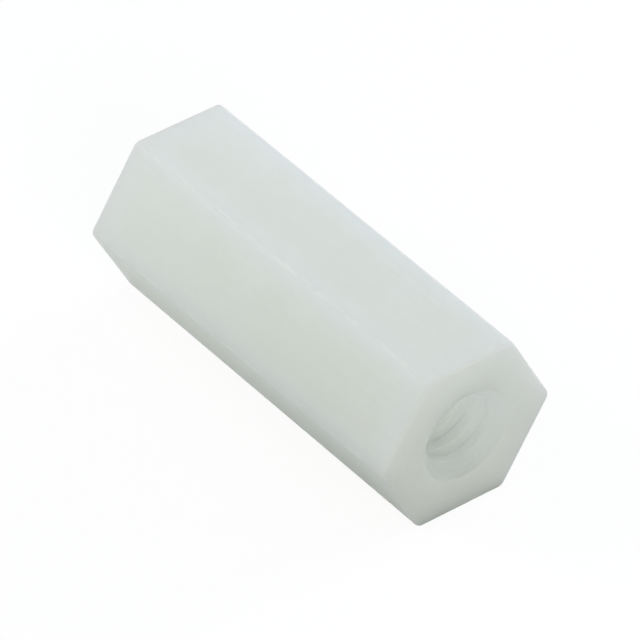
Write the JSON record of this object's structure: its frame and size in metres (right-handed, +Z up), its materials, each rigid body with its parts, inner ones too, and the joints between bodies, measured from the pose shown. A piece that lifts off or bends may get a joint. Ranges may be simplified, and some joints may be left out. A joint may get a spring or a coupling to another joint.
{
  "type": "hex standoff",
  "caption": "Hexagonal standoff in milky natural nylon with softly rounded edges, a threaded bore from end to end and a countersink at each mouth.",
  "frame": {"origin": "on the axis of the threaded bore, halfway between the end faces", "axes": "+X along the bore, out of one mouth; +Y across two long edges; +Z up, square to the flat that it lies on"},
  "size_m": [0.0158, 0.0072, 0.0064],
  "materials": {
    "natural_nylon": "milky, slightly translucent, satin as extruded"
  },
  "bodies": {
    "root": {"standoff": "natural_nylon"}
  },
  "joints": []
}
